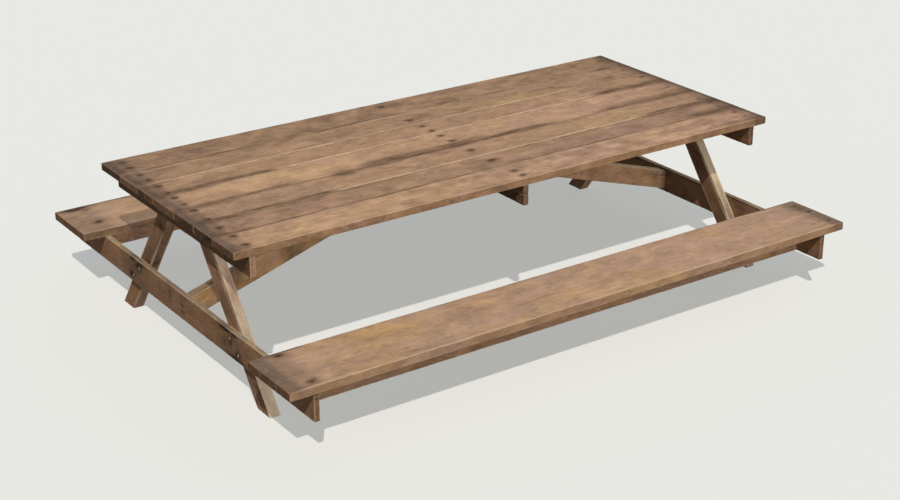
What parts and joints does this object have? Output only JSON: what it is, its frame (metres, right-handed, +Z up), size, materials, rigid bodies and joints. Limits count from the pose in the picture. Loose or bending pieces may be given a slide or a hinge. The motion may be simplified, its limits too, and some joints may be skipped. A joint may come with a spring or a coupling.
{
  "type": "picnic table",
  "caption": "Rectangular outdoor picnic table of weathered planks on splayed A-frame legs, with a fixed plank bench along each long side and diagonal braces below.",
  "frame": {"origin": "on the ground, under the middle of the table", "axes": "+X along the table, +Y across it towards the rear bench, +Z up"},
  "size_m": [3.094, 2.338, 0.76],
  "materials": {
    "top_wood": "weathered brown boards, matt",
    "bench_wood": "weathered brown planks, matt",
    "frame_wood": "weathered darker brown timber, matt",
    "rusted_iron": "dull, rusted"
  },
  "bodies": {
    "root": {"top_board_1": "top_wood", "top_board_2": "top_wood", "top_board_3": "top_wood", "top_board_4": "top_wood", "top_board_5": "top_wood", "top_board_6": "top_wood", "top_board_7": "top_wood", "bench_front": "bench_wood", "bench_rear": "bench_wood", "batten_left": "frame_wood", "batten_middle": "frame_wood", "batten_right": "frame_wood", "bench_stiffener_front": "frame_wood", "bench_stiffener_rear": "frame_wood", "seat_rail_left": "frame_wood", "seat_rail_right": "frame_wood", "leg_left_front": "frame_wood", "leg_left_rear": "frame_wood", "leg_right_front": "frame_wood", "leg_right_rear": "frame_wood", "brace_left": "frame_wood", "brace_right": "frame_wood", "frame_bolts": "rusted_iron", "frame_washers": "rusted_iron", "frame_nuts": "rusted_iron", "top_nails": "rusted_iron", "bench_nails": "rusted_iron", "rail_screws": "rusted_iron", "brace_screws": "rusted_iron"}
  },
  "joints": []
}
